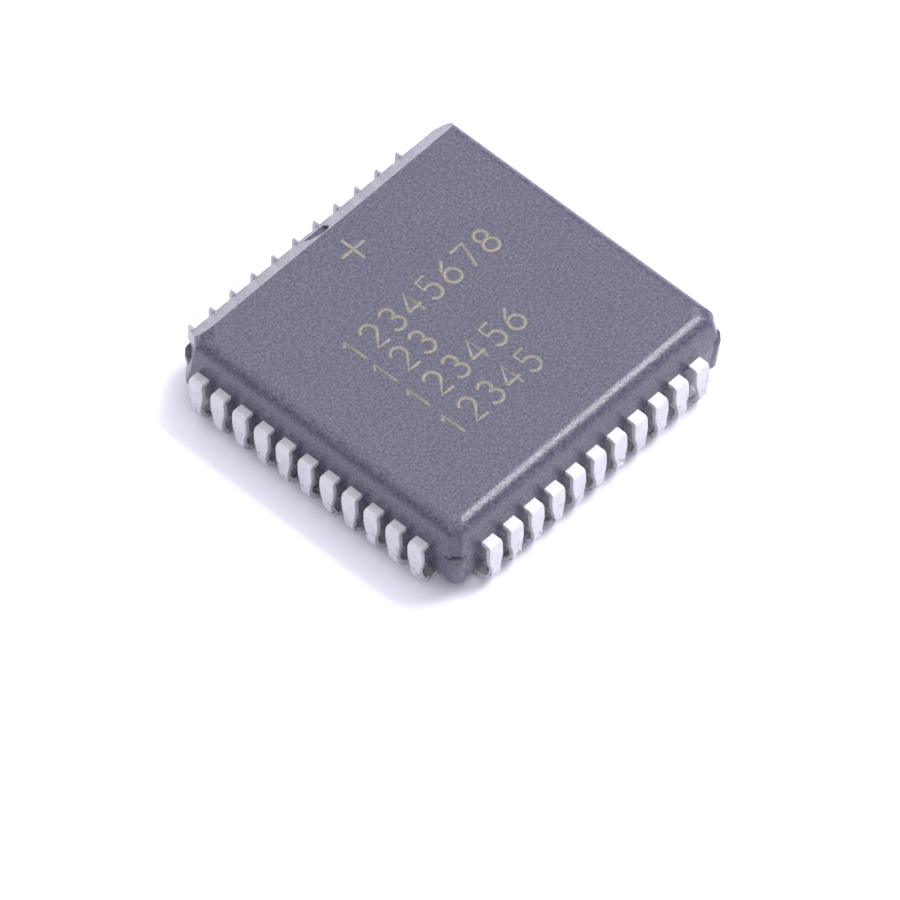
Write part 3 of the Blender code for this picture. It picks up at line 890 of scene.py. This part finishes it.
class CHIP_OT_leads(bpy.types.Operator):
    """Make the J leads on all four sides"""

    bl_idname = "chip.make_leads"
    bl_label = "J Leads"

    def execute(self, context):
        lead = context.scene.chip_leads
        values = {
            "Leads per Side": lead.per_side,
            "Pitch": lead.pitch,
            "Sides": SIDES,
            "Material": tin_finish(lead),
        }
        leads = grown(place("one_lead", lead_form(lead)), lead_rows_tree(), values, "lead_rows")
        if not leads.data.polygons:
            raise RuntimeError("the leads came out empty")
        leads = with_flat_faces(leads, "j_leads")
        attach(leads, "root")
        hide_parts(*LEAD_NODES)
        return {"FINISHED"}


class CHIP_OT_marks(bpy.types.Operator):
    """Print the plus and the counting rows on the top face"""

    bl_idname = "chip.print_marks"
    bl_label = "Printed Marks"

    def execute(self, context):
        mark = context.scene.chip_marks
        values = {"Stroke": mark.stroke, "Thickness": mark.thickness, "Material": ink_finish(mark)}
        lines = place("mark_lines", mark_lines(mark, BODY_HIGH.z))
        printed = grown(lines, ink_lines_tree(), values, "printed_marks")
        if not printed.data.polygons:
            raise RuntimeError("the marks came out empty")
        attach(printed, "root")
        return {"FINISHED"}


class CHIP_OT_inside(bpy.types.Operator):
    """Give the die pad with its tie bars, the adhesive and the die their finishes"""

    bl_idname = "chip.finish_inside"
    bl_label = "Pad and Die Finishes"

    def execute(self, context):
        inside = context.scene.chip_inside
        finishes = {
            "die_pad": copper_finish(inside),
            "die_adhesive": adhesive_finish(inside),
            "silicon_die": silicon_finish(inside),
        }
        for node, finish in finishes.items():
            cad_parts[node].material_slots[0].material = finish
        return {"FINISHED"}


class CHIP_OT_stage(bpy.types.Operator):
    """Add the floor, the soft lights and the camera"""

    bl_idname = "chip.set_stage"
    bl_label = "Stage"

    def execute(self, context):
        stage = context.scene.chip_stage
        add_floor(stage)
        add_daylight(stage)
        add_lights()
        add_camera(stage)
        return {"FINISHED"}


def add_floor(stage):
    half = stage.floor_size / 2
    form = bmesh.new()
    corners = [(-half, -half, 0.0), (half, -half, 0.0), (half, half, 0.0), (-half, half, 0.0)]
    form.faces.new([form.verts.new(corner) for corner in corners])
    floor = place("floor", mesh_of(form, "floor"))
    floor.data.materials.append(floor_finish(stage))


def add_daylight(stage):
    """An even light from all round. The picture keeps the tones as they are."""
    world = bpy.data.worlds.new("daylight")
    world.use_nodes = True
    background = world.node_tree.nodes["Background"]
    background.inputs["Color"].default_value = (*stage.daylight_tone, 1.0)
    background.inputs["Strength"].default_value = stage.daylight
    bpy.context.scene.world = world
    bpy.context.scene.view_settings.view_transform = "Standard"


def add_lights():
    for name, middle, sides, power in LIGHT_PANELS:
        data = bpy.data.lights.new(name, "AREA")
        data.shape = "RECTANGLE"
        data.size, data.size_y = sides
        data.energy = power
        lamp = bpy.data.objects.new(name, data)
        lamp.location = middle
        bpy.context.scene.collection.objects.link(lamp)


def add_camera(stage):
    """The photograph's viewpoint, from far away with a long lens."""
    data = bpy.data.cameras.new("viewpoint")
    data.lens = stage.lens
    data.sensor_width = SENSOR_WIDTH
    data.clip_start = NEAREST
    data.clip_end = FARTHEST
    camera = bpy.data.objects.new("viewpoint", data)
    side, rise = stage.azimuth, stage.elevation
    back = Vector((math.sin(side) * math.cos(rise), -math.cos(side) * math.cos(rise), math.sin(rise)))
    tilt = Matrix.Rotation(stage.roll, 3, "Z")
    turned = (-back).to_track_quat("-Z", "Y").to_matrix() @ tilt
    camera.matrix_world = Matrix.Translation(CAMERA_AIM + back * stage.distance) @ turned.to_4x4()
    bpy.context.scene.collection.objects.link(camera)
    bpy.context.scene.camera = camera


# Panel and registration


class CHIP_PT_panel(bpy.types.Panel):
    """Lists the operators in the order in which they run."""

    bl_idname = "CHIP_PT_panel"
    bl_label = "Leaded Chip Carrier"
    bl_space_type = "VIEW_3D"
    bl_region_type = "UI"
    bl_category = "Chip"

    def draw(self, context):
        for operator in OPERATORS:
            self.layout.operator(operator.bl_idname)


SETTINGS = {
    "chip_body": BodySettings,
    "chip_leads": LeadSettings,
    "chip_marks": MarkSettings,
    "chip_inside": InsideSettings,
    "chip_stage": StageSettings,
}
OPERATORS = (CHIP_OT_body, CHIP_OT_leads, CHIP_OT_marks, CHIP_OT_inside, CHIP_OT_stage)
CLASSES = (*SETTINGS.values(), *OPERATORS, CHIP_PT_panel)


def register():
    for made in CLASSES:
        bpy.utils.register_class(made)
    for name, group in SETTINGS.items():
        setattr(bpy.types.Scene, name, bpy.props.PointerProperty(type=group))


def unregister():
    for name in SETTINGS:
        delattr(bpy.types.Scene, name)
    for made in reversed(CLASSES):
        bpy.utils.unregister_class(made)


def main():
    register()
    bpy.ops.chip.make_body()
    bpy.ops.chip.make_leads()
    bpy.ops.chip.print_marks()
    bpy.ops.chip.finish_inside()
    bpy.ops.chip.set_stage()


if __name__ == "__main__":
    main()
